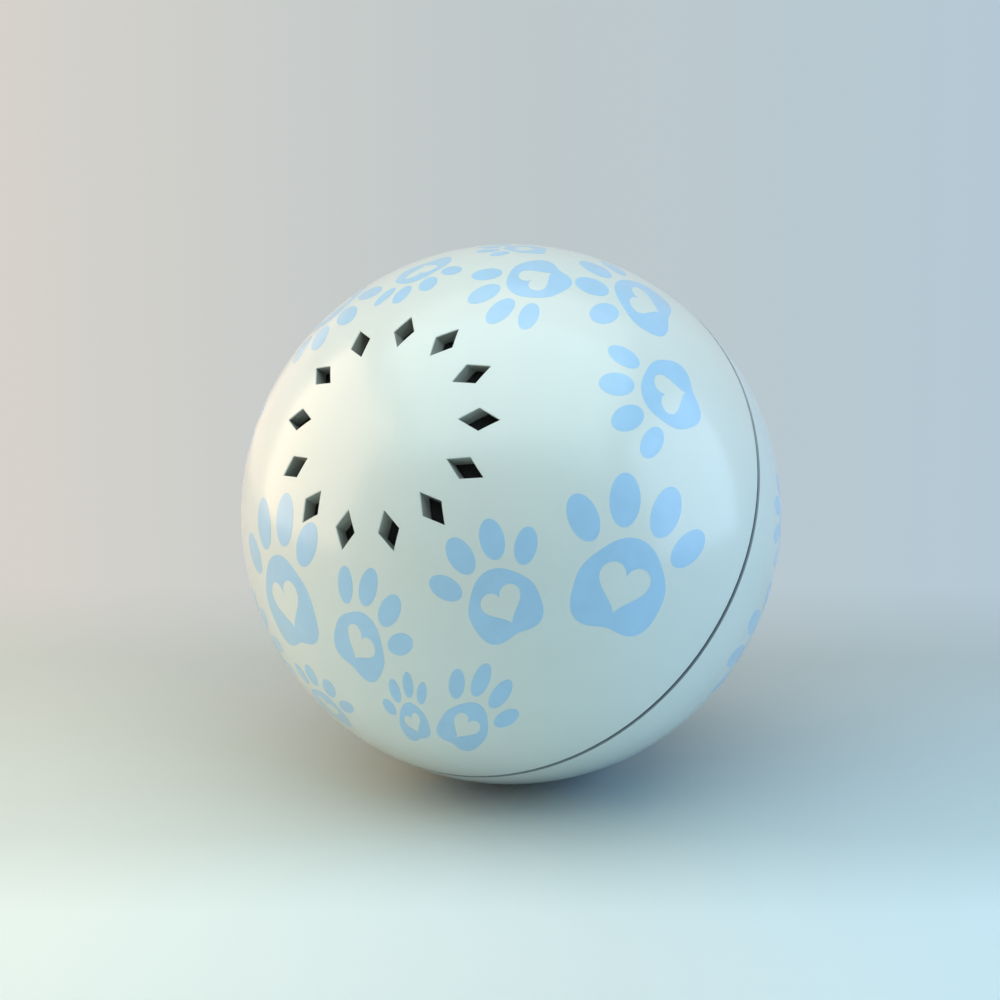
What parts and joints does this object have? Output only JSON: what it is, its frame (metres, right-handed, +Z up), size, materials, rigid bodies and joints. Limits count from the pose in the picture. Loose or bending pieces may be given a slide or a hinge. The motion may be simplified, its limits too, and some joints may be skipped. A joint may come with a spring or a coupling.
{
  "type": "smart pet ball",
  "caption": "Self-rolling pet ball: two twist-lock shells with a ring of diamond vents round a weighted, gear-driven core, whose hub holds a button and a charging port.",
  "frame": {"origin": "centre of the ball", "axes": "+Z up and -Z down to the floor that it rests on; the ball's own axis runs in the YZ plane, with the vents towards -Y, 31 degrees above level, and the hub on the far side"},
  "size_m": [0.064, 0.064, 0.064],
  "materials": {
    "shell_plastic": "satin pearl white",
    "hub_plastic": "satin white",
    "mesh_cloth": "fine black mesh",
    "seal_rubber": "soft dark grey",
    "gear_plastic": "natural acetal",
    "screw_steel": "zinc plated",
    "axle_steel": "ground",
    "motor_steel": "plated",
    "weight_steel": "blackened",
    "core_plastic": "moulded grey",
    "dome_plastic": "moulded dark grey",
    "black_plastic": "moulded black",
    "brass": "turned",
    "battery_foil": "dull foil pouch",
    "foam": "soft foam",
    "board": "green board",
    "shield_metal": "plain shield",
    "magnet_steel": "plated",
    "cone_film": "thin film",
    "lead_sleeve": "red insulation",
    "cable_sleeve": "black sleeve",
    "light_plastic": "milky light guide",
    "button_plastic": "satin pale blue",
    "socket_steel": "stamped",
    "flap_rubber": "matt pale grey"
  },
  "bodies": {
    "rear_half": {"rear_shell": "shell_plastic", "seam_gasket": "seal_rubber", "ring_gear": "gear_plastic", "ring_gear_screws": "screw_steel", "hub_bush": "gear_plastic"},
    "front_half": {"front_shell": "shell_plastic", "vent_mesh": "mesh_cloth", "front_bush": "gear_plastic"},
    "core": {"battery": "battery_foil", "battery_leads": "lead_sleeve", "battery_pad": "foam", "board_capacitors": "shield_metal", "board_screws": "screw_steel", "charge_chip": "black_plastic", "charge_socket": "socket_steel", "charge_tongue": "black_plastic", "core_base": "core_plastic", "core_cover": "core_plastic", "core_dome": "dome_plastic", "core_screws": "screw_steel", "core_seal": "seal_rubber", "counterweight_screws": "screw_steel", "dome_screws": "screw_steel", "flap_pin": "axle_steel", "front_axle": "axle_steel", "front_counterweight": "weight_steel", "gear_cover": "core_plastic", "gear_cover_screws": "screw_steel", "gear_pin": "axle_steel", "hub_board": "board", "hub_cable": "cable_sleeve", "hub_cap": "hub_plastic", "hub_seal": "seal_rubber", "light_ring": "light_plastic", "main_board": "board", "motion_sensor": "black_plastic", "motor_can": "motor_steel", "motor_driver": "black_plastic", "motor_end_cap": "black_plastic", "motor_leads": "lead_sleeve", "motor_terminals": "brass", "rear_counterweight": "weight_steel", "speaker_cone": "cone_film", "speaker_frame": "black_plastic", "speaker_gasket": "foam", "speaker_leads": "lead_sleeve", "speaker_magnet": "magnet_steel", "status_lights": "light_plastic", "switch_body": "black_plastic", "wireless_module": "shield_metal"},
    "idler": {"compound_gear": "gear_plastic"},
    "rotor": {"motor_shaft": "axle_steel", "motor_pinion": "brass"},
    "button": {"power_button": "button_plastic", "switch_plunger": "black_plastic"},
    "flap": {"port_flap": "flap_rubber"}
  },
  "joints": [
    {"name": "lock_twist", "type": "hinge", "parent": "rear_half", "child": "front_half", "pos_m": [0, 0, 0], "axis": [0, -0.8572, 0.515], "range_deg": [0, 30]},
    {"name": "core_swing", "type": "hinge", "parent": "rear_half", "child": "core", "pos_m": [0, 0, 0], "axis": [0, -0.8572, 0.515], "continuous": true},
    {"name": "idler_spin", "type": "hinge", "parent": "core", "child": "idler", "pos_m": [0, -0.00906, -0.01509], "axis": [0, -0.8572, 0.515], "continuous": true},
    {"name": "rotor_spin", "type": "hinge", "parent": "core", "child": "rotor", "pos_m": [0.00656, -0.00518, -0.00861], "axis": [0, -0.8572, 0.515], "continuous": true},
    {"name": "button_press", "type": "slide", "parent": "core", "child": "button", "axis": [0, -0.8572, 0.515], "range_m": [0, 0.0004], "stiffness_N_per_m": 4000},
    {"name": "flap_open", "type": "hinge", "parent": "core", "child": "flap", "pos_m": [0, 0.03004, -0.00883], "axis": [1, 0, 0], "range_deg": [0, 90]}
  ],
  "couplings": [
    {"joint": "idler_spin", "follows": "core_swing", "ratio": -4.6667},
    {"joint": "rotor_spin", "follows": "core_swing", "ratio": 18.667}
  ]
}
